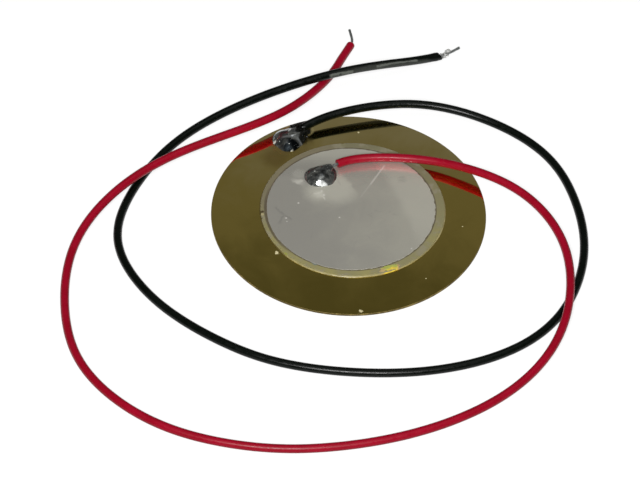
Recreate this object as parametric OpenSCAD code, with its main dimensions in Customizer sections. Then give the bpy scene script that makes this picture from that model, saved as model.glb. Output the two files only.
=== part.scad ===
// Piezo disc: a thin ceramic disc with a silver electrode on each face, bonded to a brass
// plate, with one lead soldered to the plate and one to the upper electrode.
// Millimetres, +Z up. The origin is the centre of the plate's underside.

/* [Brass plate] */
// Diameter of the brass plate
plate_d = 35; // [34.5:0.5:41]
// Thickness of the brass plate
plate_t = 0.3; // [0.2:0.05:0.4]
// Roll-over that punching leaves on the plate's upper edge
plate_roll = 0.06; // [0.02:0.01:0.1]

/* [Ceramic disc] */
// Diameter of the ceramic disc
ceramic_d = 23.5; // [22:0.5:24.5]
// Thickness of the ceramic disc
ceramic_t = 0.2; // [0.15:0.01:0.3]
// How far right of the plate's centre the ceramic is bonded
ceramic_x = 0.5; // [-0.8:0.1:0.8]
// How far back of the plate's centre the ceramic is bonded
ceramic_y = 0.65; // [-0.8:0.05:0.8]

/* [Electrodes] */
// Thickness of each fired silver electrode
electrode_t = 0.015; // [0.01:0.005:0.03]
// Bare margin of ceramic around the upper electrode
upper_electrode_margin = 1; // [0.5:0.1:1.6]
// How far left of the ceramic's centre the upper electrode is printed
upper_electrode_shift = 0.2; // [0:0.05:0.3]
// Bare margin of ceramic around the lower electrode
lower_electrode_margin = 0.3; // [0.1:0.05:1]

/* [Adhesive] */
// Thickness of the adhesive film under the lower electrode
adhesive_t = 0.02; // [0.01:0.005:0.05]
// Width of the bead of adhesive squeezed out around the ceramic
adhesive_bead = 0.1; // [0.05:0.05:0.4]

/* [Joint on the plate] */
// Direction of the plate's solder joint from the ceramic's centre, in degrees
plate_joint_angle = 125; // [120:0.5:130]
// Brass left between the adhesive's bead and the plate's solder joint
plate_joint_gap = 0.95; // [0.3:0.05:1]
// Length of the foot of the plate's solder joint
plate_joint_l = 4.2; // [3.6:0.1:4.4]
// Width of the foot of the plate's solder joint
plate_joint_w = 4.1; // [3.4:0.1:4.3]
// Height of the plate's solder joint
plate_joint_h = 1.1; // [1.05:0.05:1.4]

/* [Joint on the electrode] */
// Place of the electrode's solder joint along X, from the ceramic's centre
electrode_joint_x = -4.25; // [-5:0.05:-3]
// Place of the electrode's solder joint along Y, from the ceramic's centre
electrode_joint_y = 5.45; // [4:0.05:6]
// Length of the foot of the electrode's solder joint
electrode_joint_l = 4; // [3.6:0.1:4.6]
// Width of the foot of the electrode's solder joint
electrode_joint_w = 3.6; // [3.2:0.1:4.1]
// Height of the electrode's solder joint
electrode_joint_h = 1; // [0.95:0.05:1.3]

/* [Leads] */
// Outside diameter of the insulation
wire_d = 1.1; // [0.8:0.05:1.2]
// Diameter of the stranded conductor
conductor_d = 0.35; // [0.2:0.05:0.5]
// Length of the red lead's conductor that is bare at its solder joint
red_joint_bare = 3.2; // [3:0.1:3.6]
// Length of the red lead's conductor that is bare at its free end
red_tip_bare = 2.8; // [1:0.1:5]
// Length of the black lead's conductor that is bare at its solder joint
black_joint_bare = 3; // [2.8:0.1:3.4]
// Length of the black lead's conductor that is bare at its free end
black_tip_bare = 3.1; // [1:0.1:5]
// Space between the two leads where one crosses over the other
crossing_gap = 0.1; // [0.05:0.05:0.3]

/* [Hidden] */

// The layers, from the plate up
adhesive_z = plate_t;
lower_electrode_z = adhesive_z + adhesive_t;
ceramic_z = lower_electrode_z + electrode_t;
upper_electrode_z = ceramic_z + ceramic_t;
top_z = upper_electrode_z + electrode_t;
disc_fn = 180;

// The solder joints: where they stand, and their shape from the foot up, as shares of the
// foot's size and of the height
plate_joint_reach = ceramic_d / 2 + adhesive_bead + plate_joint_gap + plate_joint_w / 2;
plate_joint = [
    ceramic_x + plate_joint_reach * cos(plate_joint_angle),
    ceramic_y + plate_joint_reach * sin(plate_joint_angle),
    plate_t,
];
electrode_joint = [ceramic_x + electrode_joint_x, ceramic_y + electrode_joint_y, top_z];
joint_steps = [[1, 0], [0.93, 0.17], [0.84, 0.36], [0.72, 0.56], [0.56, 0.75], [0.38, 0.89], [0.19, 0.97]];
joint_sides = 36;
joint_turn = -6;
// Each joint has a ridge that climbs along its lead: how much of its height the ridge keeps, how
// far it reaches past the foot's oval, and how narrow it is
ridge_keep = 0.75;
ridge_reach = 0.3;
ridge_narrow = 5;

// The leads: heights of the centreline where a lead lies on the surface, and where it crosses
// over the other lead
lie = wire_d / 2;
over = lie + wire_d + crossing_gap;
lead_sides = 8;
insulation_rings = 36;
tip_rings = 3;
fine_steps = 12;

// Each lead's route is a smooth curve pulled along these points. It starts in the solder, runs
// over the plate's rim, lies in a loop around the plate and ends at the bare tip.
red_route = [
    electrode_joint + [-0.25, -0.3, 0.4],
    electrode_joint + [1.75, 1.8, 0.7],
    [1.5, 9.25, top_z + 0.75],
    [10, 9.25, top_z + 0.8],
    [18, 5.75, top_z + 1.85],
    [24, 1.75, over + 0.1],
    [28.25, -6.5, over],
    [28, -18, over + 0.1],
    [24.5, -26, lie + 0.4],
    [18, -32.5, lie],
    [8.75, -37.5, lie],
    [-1.25, -40, lie],
    [-10, -40.5, lie],
    [-20, -38.5, lie],
    [-27.5, -34, lie],
    [-33.5, -27, lie],
    [-35.5, -17.75, lie],
    [-35.25, -7.5, lie + 0.2],
    [-31, 0.5, over],
    [-24, 7.5, over + 0.3],
    [-14.5, 12, over + 0.8],
    [-7.75, 16, over + 0.8],
    [-3, 23.5, lie + 0.3],
    [-1.5, 27.5, lie + 0.1],
    [-0.7, 29.4, lie],
    [-0.25, 30.4, lie],
    [0.05, 31.2, lie],
    [-0.1, 32.1, lie],
    [-0.4, 33.5, lie - 0.1],
];
black_route = [
    plate_joint + [-0.45, -0.35, 0.45],
    plate_joint + [2.05, 1.65, 1.1],
    [-1.5, 16.75, plate_t + 1.75],
    [8.5, 19.25, over + 0.3],
    [18.25, 17.5, lie],
    [26, 11.5, lie],
    [29.25, 3, lie],
    [30.5, -6.5, lie],
    [27.5, -17, lie],
    [21, -23.5, lie],
    [11.75, -27, lie],
    [1.75, -27.75, lie],
    [-8.5, -26.5, lie],
    [-15.75, -23, lie],
    [-24, -17, lie],
    [-29.5, -8.25, lie],
    [-29.25, -0.5, lie],
    [-24.75, 9.5, lie],
    [-18.25, 16, lie + 0.4],
    [-9, 20.75, over + 0.3],
    [0.25, 24, over + 1.1],
    [8, 27, over - 0.45],
    [11, 28.75, lie],
    [12.25, 29.15, lie],
    [13.25, 29.9, lie],
    [14.1, 30.7, lie - 0.1],
];

// A point on the smooth curve (a uniform cubic B-spline that starts and ends on its end points)
function mirror_point(p, q) = 2 * p - q;
function pull(route, i) =
    i < 0 ? mirror_point(route[0], route[1])
    : i > len(route) - 1 ? mirror_point(route[len(route) - 1], route[len(route) - 2])
    : route[i];
function curve_point(route, t) =
    let (i = min(floor(t), len(route) - 2), u = t - i)
    (pull(route, i - 1) * pow(1 - u, 3)
        + pull(route, i) * (3 * pow(u, 3) - 6 * pow(u, 2) + 4)
        + pull(route, i + 1) * (-3 * pow(u, 3) + 3 * pow(u, 2) + 3 * u + 1)
        + pull(route, i + 2) * pow(u, 3)) / 6;
function unit(v) = v / norm(v);
function curve_heading(route, t) = unit(curve_point(route, t + 0.01) - curve_point(route, t - 0.01));

// Length along the route against the curve's parameter, for placing rings by length
function length_table(route) =
    let (last = (len(route) - 1) * fine_steps,
         p = [for (k = [0 : last]) curve_point(route, k / fine_steps)])
    [for (k = 0, s = 0; k <= last; k = k + 1, s = k > last ? s : s + norm(p[k] - p[k - 1]))
        [s, k / fine_steps]];
function route_length(table) = table[len(table) - 1][0];

// One ring of the lead's section at a length along the route, upright across the route
function lead_ring(route, table, at, radius) =
    let (t = lookup(at, table), c = curve_point(route, t), ahead = curve_heading(route, t),
         side = unit(cross([0, 0, 1], ahead)), up = cross(ahead, side))
    [for (i = [0 : lead_sides - 1])
        let (a = 360 * i / lead_sides) c + radius * (side * cos(a) + up * sin(a))];

// Where the rings stand: along the insulation, and along the whole conductor
function insulated(table, joint_bare, tip_bare) =
    let (start = joint_bare, end = route_length(table) - tip_bare)
    [for (k = [0 : insulation_rings - 1]) start + (end - start) * k / (insulation_rings - 1)];
function conducting(table, joint_bare, tip_bare) = concat(
    [0],
    insulated(table, joint_bare, tip_bare),
    [for (k = [1 : tip_rings]) route_length(table) - tip_bare * (1 - k / tip_rings)]);

// A solid with a skin over a row of rings. A looped row goes out and comes back as an inner wall,
// whose faces are split along the same diagonals as those of a solid that fills it.
module skin(rings, looped = false) {
    n = len(rings[0]);
    rows = len(rings);
    sides = [for (k = [0 : rows - (looped ? 1 : 2)], i = [0 : n - 1], half = [0, 1])
        let (a = k * n, b = ((k + 1) % rows) * n, j = (i + 1) % n, back = looped && k >= rows / 2)
        half == 0 ? [a + i, b + i, back ? b + j : a + j] : [back ? a + i : b + i, b + j, a + j]];
    caps = looped ? [] : [[for (i = [0 : n - 1]) i], [for (i = [n - 1 : -1 : 0]) (rows - 1) * n + i]];
    polyhedron([for (ring = rings, p = ring) p], concat(sides, caps), convexity = 10);
}

module conductor(route, joint_bare, tip_bare) {
    table = length_table(route);
    skin([for (at = conducting(table, joint_bare, tip_bare))
        lead_ring(route, table, at, conductor_d / 2)]);
}

module insulation(route, joint_bare, tip_bare) {
    table = length_table(route);
    places = insulated(table, joint_bare, tip_bare);
    outer = [for (at = places) lead_ring(route, table, at, wire_d / 2)];
    inner = [for (at = places) lead_ring(route, table, at, conductor_d / 2)];
    skin(concat(outer, [for (k = [len(inner) - 1 : -1 : 0]) inner[k]]), looped = true);
}

// The start of a lead as one solid, conductor and then insulation, which the solder lies around
module lead_start(route, joint_bare, tip_bare) {
    table = length_table(route);
    places = conducting(table, joint_bare, tip_bare);
    skin([
        lead_ring(route, table, places[0], conductor_d / 2),
        lead_ring(route, table, places[1], conductor_d / 2),
        lead_ring(route, table, places[1], wire_d / 2),
        lead_ring(route, table, places[2], wire_d / 2),
    ]);
}

// A solder joint: a low dome on an oval foot, with a ridge along its lead
module solder_dome(place, route, length, width, height) {
    lead_turn = atan2(route[1][1] - route[0][1], route[1][0] - route[0][0]) - joint_turn;
    skin([for (step = joint_steps)
        [for (i = [0 : joint_sides - 1])
            let (a = 360 * i / joint_sides,
                 ridge = pow(max(0, cos(a - lead_turn)), ridge_narrow),
                 share = (step[0] + (1 - step[0]) * ridge_keep * ridge) * (1 + ridge_reach * ridge),
                 x = share * length / 2 * cos(a), y = share * width / 2 * sin(a))
            place + [
                x * cos(joint_turn) - y * sin(joint_turn),
                x * sin(joint_turn) + y * cos(joint_turn),
                step[1] * height,
            ]]]);
}

module brass_plate() {
    color("darkkhaki")
        rotate_extrude($fn = disc_fn)
            polygon([
                [0, 0],
                [plate_d / 2, 0],
                [plate_d / 2, plate_t - plate_roll],
                [plate_d / 2 - plate_roll, plate_t],
                [0, plate_t],
            ]);
}

module adhesive_layer() {
    bead_h = adhesive_t + electrode_t + ceramic_t / 2;
    color("goldenrod")
        translate([ceramic_x, ceramic_y, adhesive_z])
            rotate_extrude($fn = disc_fn)
                polygon([
                    [0, 0],
                    [ceramic_d / 2 + adhesive_bead, 0],
                    [ceramic_d / 2, bead_h],
                    [ceramic_d / 2, adhesive_t + electrode_t],
                    [ceramic_d / 2 - lower_electrode_margin, adhesive_t + electrode_t],
                    [ceramic_d / 2 - lower_electrode_margin, adhesive_t],
                    [0, adhesive_t],
                ]);
}

module lower_electrode() {
    color("silver")
        translate([ceramic_x, ceramic_y, lower_electrode_z])
            cylinder(d = ceramic_d - 2 * lower_electrode_margin, h = electrode_t, $fn = disc_fn);
}

module ceramic_disc() {
    color("tan")
        translate([ceramic_x, ceramic_y, ceramic_z])
            cylinder(d = ceramic_d, h = ceramic_t, $fn = disc_fn);
}

module upper_electrode() {
    color("gainsboro")
        translate([ceramic_x - upper_electrode_shift, ceramic_y, upper_electrode_z])
            cylinder(d = ceramic_d - 2 * upper_electrode_margin, h = electrode_t, $fn = disc_fn);
}

module plate_solder() {
    color("slategray")
        difference() {
            solder_dome(plate_joint, black_route, plate_joint_l, plate_joint_w, plate_joint_h);
            lead_start(black_route, black_joint_bare, black_tip_bare);
        }
}

module electrode_solder() {
    color("slategray")
        difference() {
            solder_dome(electrode_joint, red_route, electrode_joint_l, electrode_joint_w,
                electrode_joint_h);
            lead_start(red_route, red_joint_bare, red_tip_bare);
        }
}

module black_conductor() {
    color("lightgray") conductor(black_route, black_joint_bare, black_tip_bare);
}

module black_insulation() {
    color("black") insulation(black_route, black_joint_bare, black_tip_bare);
}

module red_conductor() {
    color("lightgray") conductor(red_route, red_joint_bare, red_tip_bare);
}

module red_insulation() {
    color("crimson") insulation(red_route, red_joint_bare, red_tip_bare);
}

brass_plate();
adhesive_layer();
lower_electrode();
ceramic_disc();
upper_electrode();
plate_solder();
electrode_solder();
black_conductor();
black_insulation();
red_conductor();
red_insulation();
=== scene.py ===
"""The looks of a 35 mm piezo disc with its two leads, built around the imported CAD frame.

Metres, +Z up. The origin is the centre of the brass plate's underside.
"""
import math
import bpy
from mathutils import Matrix, Vector, noise


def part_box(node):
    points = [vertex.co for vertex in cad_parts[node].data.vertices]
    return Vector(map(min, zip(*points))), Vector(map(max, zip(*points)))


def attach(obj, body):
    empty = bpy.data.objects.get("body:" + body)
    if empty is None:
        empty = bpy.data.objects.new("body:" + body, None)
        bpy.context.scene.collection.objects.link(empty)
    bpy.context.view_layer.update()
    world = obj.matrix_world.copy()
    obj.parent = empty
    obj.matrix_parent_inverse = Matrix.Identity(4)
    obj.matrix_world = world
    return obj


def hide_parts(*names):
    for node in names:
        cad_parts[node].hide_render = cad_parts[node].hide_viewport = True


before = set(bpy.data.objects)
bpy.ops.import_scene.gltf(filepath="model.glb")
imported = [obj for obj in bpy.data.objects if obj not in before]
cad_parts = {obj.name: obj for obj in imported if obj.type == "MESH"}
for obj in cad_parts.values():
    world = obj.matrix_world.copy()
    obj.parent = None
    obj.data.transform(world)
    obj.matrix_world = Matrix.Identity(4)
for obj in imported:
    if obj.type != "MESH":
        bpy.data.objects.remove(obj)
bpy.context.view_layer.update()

MM = 0.001


# -------------------- sizes, from the frame

def middle(node):
    low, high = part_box(node)
    return (low + high) / 2


def radius_of(node):
    low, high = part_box(node)
    return (high.x - low.x) / 2


PLATE_R = radius_of("brass_plate")
PLATE_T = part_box("brass_plate")[1].z
PLATE_ROLL = 0.06 * MM
CERAMIC_MID = middle("ceramic_disc")
CERAMIC_R = radius_of("ceramic_disc")
CERAMIC_BOTTOM, CERAMIC_TOP = (corner.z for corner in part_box("ceramic_disc"))
ELECTRODE_MID = middle("upper_electrode")
ELECTRODE_R = radius_of("upper_electrode")
TOP_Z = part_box("upper_electrode")[1].z
BEAD_R = radius_of("adhesive_layer")
BEAD_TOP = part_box("adhesive_layer")[1].z
FILM_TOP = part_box("lower_electrode")[0].z
LOWER_ELECTRODE_R = radius_of("lower_electrode")

# The solder joints, as in the CAD: the size of the foot and the height
PLATE_JOINT_SIZE = Vector((4.2, 4.1, 1.1)) * MM
ELECTRODE_JOINT_SIZE = Vector((4, 3.6, 1)) * MM
PLATE_JOINT_ANGLE = math.radians(125)
PLATE_JOINT_GAP = 0.95 * MM
plate_joint_reach = BEAD_R + PLATE_JOINT_GAP + PLATE_JOINT_SIZE.y / 2
PLATE_JOINT = Vector((
    CERAMIC_MID.x + plate_joint_reach * math.cos(PLATE_JOINT_ANGLE),
    CERAMIC_MID.y + plate_joint_reach * math.sin(PLATE_JOINT_ANGLE),
    PLATE_T,
))
ELECTRODE_JOINT = Vector((CERAMIC_MID.x - 4.25 * MM, CERAMIC_MID.y + 5.45 * MM, TOP_Z))

# The leads, as in the CAD
WIRE_D = 1.1 * MM
CONDUCTOR_D = 0.35 * MM
CROSSING_GAP = 0.1 * MM
RED_BARE = (3.2 * MM, 2.8 * MM)
BLACK_BARE = (3 * MM, 3.1 * MM)
# The cut at each end of the insulation: its rounding, its swelling and its slant
RED_ENDS = ((0.06 * MM, 0.0, 0.0), (0.3 * MM, 0.0, 0.0))
BLACK_ENDS = ((0.08 * MM, 0.0, 0.0), (0.2 * MM, 0.07, -0.24 * MM))


# -------------------- the leads' routes

# Between the joints and the free ends, x and y come from a fit to the photo, not from choice
LIE = WIRE_D / 2
OVER = LIE + WIRE_D + CROSSING_GAP


def off(place, x, y, z):
    """A route's point, given in millimetres from a joint."""
    return place + Vector((x, y, z)) * MM


def spot(x, y, base, z=0.0):
    """A route's point: x and y in millimetres, z in millimetres above a named height."""
    return Vector((x * MM, y * MM, base + z * MM))


RED_ROUTE = [
    off(ELECTRODE_JOINT, -0.25, -0.3, 0.4), off(ELECTRODE_JOINT, 1.75, 1.8, 0.7),
    spot(1.5, 9.25, TOP_Z, 0.75), spot(10, 9.25, TOP_Z, 0.8), spot(18, 5.75, TOP_Z, 1.85),
    spot(24, 1.75, OVER, 0.1), spot(28.25, -6.5, OVER), spot(28, -18, OVER, 0.1),
    spot(24.5, -26, LIE, 0.4), spot(18, -32.5, LIE), spot(8.75, -37.5, LIE),
    spot(-1.25, -40, LIE), spot(-10, -40.5, LIE), spot(-20, -38.5, LIE), spot(-27.5, -34, LIE),
    spot(-33.5, -27, LIE), spot(-35.5, -17.75, LIE), spot(-35.25, -7.5, LIE, 0.2),
    spot(-31, 0.5, OVER), spot(-24, 7.5, OVER, 0.3), spot(-14.5, 12, OVER, 0.8),
    spot(-7.75, 16, OVER, 0.8), spot(-3, 23.5, LIE, 0.3), spot(-1.5, 27.5, LIE, 0.1),
    spot(-0.7, 29.4, LIE), spot(-0.25, 30.4, LIE), spot(0.05, 31.2, LIE), spot(-0.1, 32.1, LIE),
    spot(-0.4, 33.5, LIE, -0.1),
]
BLACK_ROUTE = [
    off(PLATE_JOINT, -0.45, -0.35, 0.45), off(PLATE_JOINT, 2.05, 1.65, 1.1),
    spot(-1.5, 16.75, PLATE_T, 1.75), spot(8.5, 19.25, OVER, 0.3), spot(18.25, 17.5, LIE),
    spot(26, 11.5, LIE), spot(29.25, 3, LIE), spot(30.5, -6.5, LIE), spot(27.5, -17, LIE),
    spot(21, -23.5, LIE), spot(11.75, -27, LIE), spot(1.75, -27.75, LIE), spot(-8.5, -26.5, LIE),
    spot(-15.75, -23, LIE), spot(-24, -17, LIE), spot(-29.5, -8.25, LIE), spot(-29.25, -0.5, LIE),
    spot(-24.75, 9.5, LIE), spot(-18.25, 16, LIE, 0.4), spot(-9, 20.75, OVER, 0.3),
    spot(0.25, 24, OVER, 1.1), spot(8, 27, OVER, -0.45), spot(11, 28.75, LIE),
    spot(12.25, 29.15, LIE), spot(13.25, 29.9, LIE), spot(14.1, 30.7, LIE, -0.1),
]
# How many points the curve has for each of the route's, and how far it looks each way for its
# direction
FINE_STEPS = 40
AHEAD_REACH = 0.2 * MM


class Lead:
    """A smooth curve pulled along a route, with its length measured along it."""

    def __init__(self, route):
        first = 2 * route[0] - route[1]
        last = 2 * route[-1] - route[-2]
        pulls = [first, *route, last]
        self.points = []
        for i in range(len(route) - 1):
            for k in range(FINE_STEPS):
                self.points.append(self.blend(pulls[i:i + 4], k / FINE_STEPS))
        self.points.append(route[-1].copy())
        self.lengths = [0.0]
        for a, b in zip(self.points, self.points[1:]):
            self.lengths.append(self.lengths[-1] + (b - a).length)
        self.length = self.lengths[-1]

    @staticmethod
    def blend(pulls, u):
        """A point of a cubic B-spline over four of its pulls."""
        shares = (
            (1 - u) ** 3,
            3 * u ** 3 - 6 * u ** 2 + 4,
            -3 * u ** 3 + 3 * u ** 2 + 3 * u + 1,
            u ** 3,
        )
        return sum((p * s for p, s in zip(pulls, shares)), Vector()) / 6

    def point(self, at):
        """The point at a length along the lead, also a little past its ends."""
        low, high = 0, len(self.points) - 2
        while low < high:
            half = (low + high + 1) // 2
            if self.lengths[half] <= at:
                low = half
            else:
                high = half - 1
        a, b = self.points[low], self.points[low + 1]
        step = self.lengths[low + 1] - self.lengths[low]
        return a + (b - a) * ((at - self.lengths[low]) / step)

    def frame(self, at):
        """The point at a length along the lead, with the ways ahead, to the side and up."""
        ahead = (self.point(at + AHEAD_REACH) - self.point(at - AHEAD_REACH)).normalized()
        side = Vector((0, 0, 1)).cross(ahead).normalized()
        return self.point(at), ahead, side, ahead.cross(side)


# -------------------- mesh helpers

# Where two faces meet at more than this, their edge is sharp
SHARP = math.radians(40)
# How quickly a lump's surface varies around it
LUMP_GRAIN = 1.6


def circle(count):
    """The angles of a number of points around a circle."""
    return [math.tau * i / count for i in range(count)]


def spoke(side, up, angle):
    """The way from a lead's middle out to its skin, at an angle around it."""
    return side * math.cos(angle) + up * math.sin(angle)


def turned(x, y, angle):
    """x and y, turned about the upright axis."""
    return x * math.cos(angle) - y * math.sin(angle), x * math.sin(angle) + y * math.cos(angle)


def aim(turn, tilt):
    """The unit vector at an angle around the upright axis and an angle above the ground."""
    reach = math.cos(tilt)
    return Vector((math.cos(turn) * reach, math.sin(turn) * reach, math.sin(tilt)))


def rolled_edge(r, z, radius, steps):
    """A profile's rounded upper edge, from its side to its top."""
    edge = []
    for k in range(1, steps + 1):
        a = math.pi / 2 * k / steps
        edge.append((r - radius * (1 - math.cos(a)), z - radius * (1 - math.sin(a))))
    return edge


def mesh_object(name, points, faces, smooth=True):
    mesh = bpy.data.meshes.new(name)
    mesh.from_pydata([tuple(p) for p in points], [], faces)
    mesh.update()
    made = bpy.data.objects.new(name, mesh)
    bpy.context.scene.collection.objects.link(made)
    if smooth:
        mesh.shade_smooth()
        mesh.set_sharp_from_angle(angle=SHARP)
    return made


def grid_faces(rows, columns, start=0, looped=False):
    """Quads between rows of points, each row closed on itself, and the last joined to the first
    if looped."""
    faces = []
    for r in range(rows if looped else rows - 1):
        for c in range(columns):
            a, b = start + r * columns, start + (r + 1) % rows * columns
            d = (c + 1) % columns
            faces.append((a + c, a + d, b + d, b + c))
    return faces


def closed_faces(rows, columns, start=0):
    """Faces over rows of points with one more point below them, at start, and one above."""
    faces = grid_faces(rows, columns, start + 1)
    low_row = start + 1
    top_row = low_row + (rows - 1) * columns
    top = top_row + columns
    for c in range(columns):
        d = (c + 1) % columns
        faces.append((start, low_row + d, low_row + c))
        faces.append((top, top_row + c, top_row + d))
    return faces


def capped(rings, start):
    """Points and faces of a solid skinned over closed rings, with a flat cap at each end."""
    columns = len(rings[0])
    points = [p for ring in rings for p in ring]
    faces = grid_faces(len(rings), columns, start)
    last = start + (len(rings) - 1) * columns
    faces.append(tuple(reversed(range(start, start + columns))))
    faces.append(tuple(range(last, last + columns)))
    return points, faces


def ripple(angle, seed, turns):
    """A smooth wander around a circle, from about -1 to 1."""
    return sum(math.sin(n * angle + seed * (n + 1.7)) / (k + 1) for k, n in enumerate(turns)) / 2


def lathe(centre, profile, sides, wander):
    """Points and faces of a turned solid. The profile runs from the axis below to the axis above,
    and wander(angle, r, z) gives the change of r at each of its points."""
    def at(reach, a, z):
        return Vector((centre.x + reach * math.cos(a), centre.y + reach * math.sin(a), z))

    points = [at(0, 0, profile[0][1])]
    for r, z in profile[1:-1]:
        points += [at(r + wander(a, r, z), a, z) for a in circle(sides)]
    points.append(at(0, 0, profile[-1][1]))
    return points, closed_faces(len(profile) - 2, sides)


def lump(centre, size, seed, rough, start, rows=9, columns=14, turn=0.0):
    """Points and faces of a small uneven grain, turned about its upright axis."""
    points = [centre - Vector((0, 0, size.z))]
    for r in range(1, rows):
        for a in circle(columns):
            way = aim(a, math.pi * (r / rows - 0.5))
            grow = 1 + rough * noise.noise(way * LUMP_GRAIN + Vector((seed, 2 * seed, 0)))
            x, y = turned(way.x * size.x, way.y * size.y, turn)
            points.append(centre + grow * Vector((x, y, way.z * size.z)))
    points.append(centre + Vector((0, 0, size.z)))
    return points, closed_faces(rows - 1, columns, start)


def add_part(points, faces, part):
    """Adds one more closed part to a mesh that is being built. part(start) gives its points and
    faces, numbered from start."""
    more_points, more_faces = part(len(points))
    points += more_points
    faces += more_faces


# -------------------- material helpers

def tint(red, green, blue):
    """A colour given as 0 to 255 on a screen, as the linear colour that a shader takes."""
    def linear(value):
        share = value / 255
        return share / 12.92 if share <= 0.04045 else ((share + 0.055) / 1.055) ** 2.4
    return (linear(red), linear(green), linear(blue), 1.0)


class Shade:
    """A material with a Principled shader, and short calls that add nodes in front of it."""

    # The Mix node's sockets for colours: its factor, its two colours and its result
    MIX_SOCKETS = (0, 6, 7)
    MIX_RESULT = 2

    def __init__(self, name, **plain):
        self.material = bpy.data.materials.new(name)
        self.material.use_nodes = True
        self.tree = self.material.node_tree
        self.shader = self.tree.nodes["Principled BSDF"]
        self.fill(self.shader, plain)
        self.colour = None
        self.mm = self.scaled(self.node("TexCoord").outputs["Object"], 1 / MM)

    def put(self, socket, value):
        """Links an output to a socket, or writes a plain value on it."""
        if isinstance(value, bpy.types.NodeSocket):
            self.tree.links.new(value, socket)
        else:
            socket.default_value = value

    def fill(self, node, values):
        """Puts values on a node's inputs, which are named with _ for each space."""
        for socket, value in values.items():
            self.put(node.inputs[socket.replace("_", " ")], value)

    def node(self, kind, **values):
        node = self.tree.nodes.new("ShaderNode" + kind)
        self.fill(node, values)
        return node

    def finish(self, **values):
        """Feeds the colour and other values to the shader, and gives the material."""
        self.fill(self.shader, {"Base_Color": self.colour, **values})
        return self.material

    def maths(self, operation, a, b=0.0, clamp=False):
        node = self.node("Math")
        node.operation = operation
        node.use_clamp = clamp
        self.put(node.inputs[0], a)
        self.put(node.inputs[1], b)
        return node.outputs[0]

    def times(self, a, b):
        return self.maths("MULTIPLY", a, b)

    def plus(self, a, b, clamp=False):
        return self.maths("ADD", a, b, clamp)

    def minus(self, a, b, clamp=False):
        return self.maths("SUBTRACT", a, b, clamp)

    def most(self, *masks):
        """The largest of several masks."""
        out = masks[0]
        for mask in masks[1:]:
            out = self.maths("MAXIMUM", out, mask)
        return out

    def vector(self, operation, a, b):
        node = self.node("VectorMath")
        node.operation = operation
        self.put(node.inputs[0], a)
        self.put(node.inputs[1], b)
        plain = operation in ("DISTANCE", "DOT_PRODUCT")
        return node.outputs["Value" if plain else "Vector"]

    def scaled(self, vector, by):
        node = self.node("VectorMath")
        node.operation = "SCALE"
        self.fill(node, {"Scale": by, "Vector": vector})
        return node.outputs[0]

    def noise(self, scale, detail, roughness=0.5, distortion=0.0, stretch=None, at=None):
        """A noise from 0 to 1, with scale features in each millimetre."""
        at = at or self.mm
        if stretch:
            at = self.node("Mapping", Scale=stretch, Vector=at).outputs[0]
        node = self.node("TexNoise", Scale=scale, Detail=detail, Roughness=roughness,
                         Distortion=distortion, Vector=at)
        return node.outputs["Fac"]

    def span(self, value, low, high, to_low=0.0, to_high=1.0):
        """Maps low..high smoothly to to_low..to_high, and holds the ends."""
        node = self.node("MapRange", Value=value, From_Min=low, From_Max=high, To_Min=to_low,
                         To_Max=to_high)
        node.interpolation_type = "SMOOTHSTEP"
        return node.outputs[0]

    def mix(self, share, a, b):
        """A colour between a and b."""
        node = self.node("Mix")
        node.data_type = "RGBA"
        for socket, value in zip(self.MIX_SOCKETS, (share, a, b)):
            self.put(node.inputs[socket], value)
        return node.outputs[self.MIX_RESULT]

    def wavy(self, scale, reach):
        """The place in millimetres, moved about by a noise, for uneven outlines."""
        node = self.node("TexNoise", Scale=scale, Detail=3.0, Vector=self.mm)
        less = self.vector("SUBTRACT", node.outputs["Color"], (0.5, 0.5, 0.5))
        return self.vector("ADD", self.mm, self.scaled(less, 2 * reach))

    def flat(self, at):
        """A place, or the surface's own if none is given, with no height."""
        return self.vector("MULTIPLY", at or self.mm, (1, 1, 0))

    def way(self, x, y, at=None):
        """How far along a way across the plate, in millimetres."""
        return self.vector("DOT_PRODUCT", at or self.mm, (x, y, 0))

    def from_point(self, x, y, at=None):
        """Distance across the plate from a point, in millimetres."""
        return self.vector("DISTANCE", self.flat(at), (x, y, 0))

    def dab(self, x, y, radius, soft, at=None):
        """1 inside a round spot and 0 outside it."""
        return self.span(self.from_point(x, y, at), radius * (1 - soft), radius * (1 + soft), 1, 0)

    def dabs(self, spots, at=None):
        """The most of several dabs, each given by its place, radius and softness."""
        return self.most(*(self.dab(*spot, at) for spot in spots))

    def stroke(self, start, end, width, soft, at=None):
        """1 along a straight stroke between two points, and 0 away from it."""
        (ax, ay), (bx, by) = start, end
        reach = math.hypot(bx - ax, by - ay)
        way = ((bx - ax) / reach, (by - ay) / reach, 0)
        off_start = self.vector("SUBTRACT", self.flat(at), (ax, ay, 0))
        along = self.vector("DOT_PRODUCT", off_start, way)
        across = self.maths("ABSOLUTE", self.vector("DOT_PRODUCT", off_start, (-way[1], way[0], 0)))
        inside = self.span(across, width / 2 * (1 - soft), width / 2 * (1 + soft), 1, 0)
        begun = self.span(along, -width, width)
        ended = self.span(along, reach - width, reach + width, 1, 0)
        return self.times(inside, self.times(begun, ended))

    def strokes(self, lines, at=None):
        """The most of several strokes, each given by its ends, width and softness."""
        return self.most(*(self.stroke(*line, at) for line in lines))

    def paint(self, mask, red, green, blue):
        """Lays one more colour over the material, where a mask is."""
        self.colour = self.mix(mask, self.colour, tint(red, green, blue))

    def bump(self, height, distance, strength):
        """A normal from a height of 0 to 1 that stands for a distance in metres."""
        node = self.node("Bump", Strength=strength, Distance=distance, Height=height)
        return node.outputs[0]


# -------------------- camera

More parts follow.
